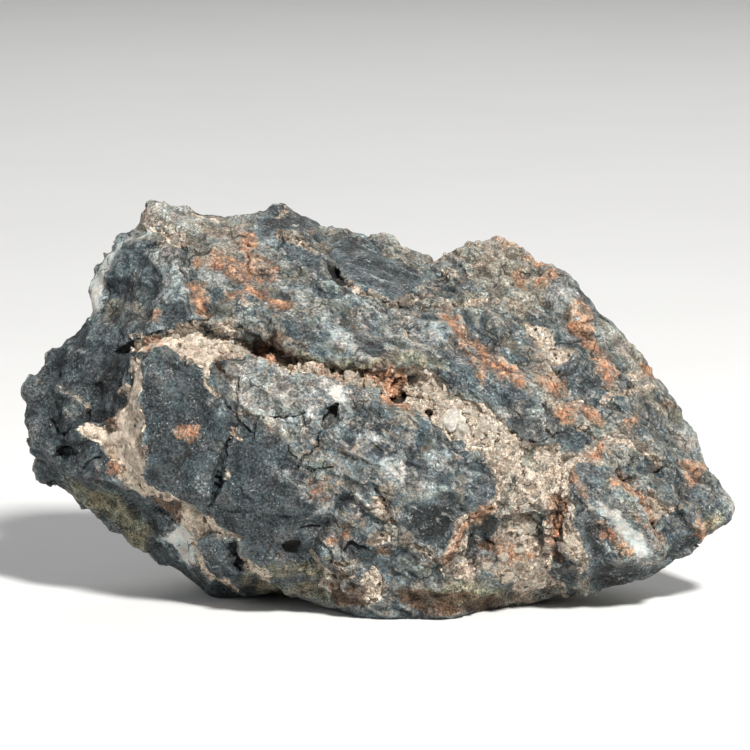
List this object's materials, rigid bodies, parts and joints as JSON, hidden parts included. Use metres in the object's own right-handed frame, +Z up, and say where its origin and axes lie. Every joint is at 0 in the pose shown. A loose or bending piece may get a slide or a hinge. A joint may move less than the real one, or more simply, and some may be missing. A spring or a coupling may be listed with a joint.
{
  "type": "wavellite specimen",
  "caption": "Rough hand specimen: a lens-shaped lump of dark blue-grey chert with buff and rust crusted seams, resting on a flat fracture face.",
  "frame": {"origin": "on the ground, under the middle of the rock's bounding box", "axes": "+X along the rock's length, towards its pointed end, -Y out of the crusted front face, +Z up"},
  "size_m": [0.1198, 0.059, 0.0648],
  "materials": {
    "stone": "rough broken stone, dull, with fine sparkle on fresh faces and dry chalky crusts in the seams"
  },
  "bodies": {
    "root": {"rock": "stone"}
  },
  "joints": []
}
